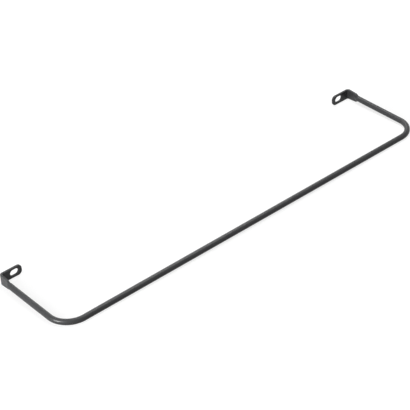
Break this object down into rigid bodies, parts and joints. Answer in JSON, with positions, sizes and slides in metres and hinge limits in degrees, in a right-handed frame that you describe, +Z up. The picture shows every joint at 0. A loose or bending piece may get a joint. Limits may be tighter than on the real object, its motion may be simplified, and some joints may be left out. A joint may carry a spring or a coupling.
{
  "type": "cable strain relief bar",
  "caption": "Round rod bent into a wide U with folded, slotted end tabs; screws across a standard equipment rack and stands off from its rails as a bar to tie cables to.",
  "frame": {"origin": "midway between the two mounting slots, in the plane of the mounting faces", "axes": "+X along the bar, from the left tab to the right tab; +Y from the bar towards the rack's rails, out of the mounting faces; +Z up, across the tabs"},
  "size_m": [0.5044, 0.1139, 0.0122],
  "materials": {
    "black_powder_coat": "satin"
  },
  "bodies": {
    "root": {"lacing_rod": "black_powder_coat", "left_tab": "black_powder_coat", "right_tab": "black_powder_coat", "left_outer_weld": "black_powder_coat", "left_inner_weld": "black_powder_coat", "right_outer_weld": "black_powder_coat", "right_inner_weld": "black_powder_coat"}
  },
  "joints": []
}
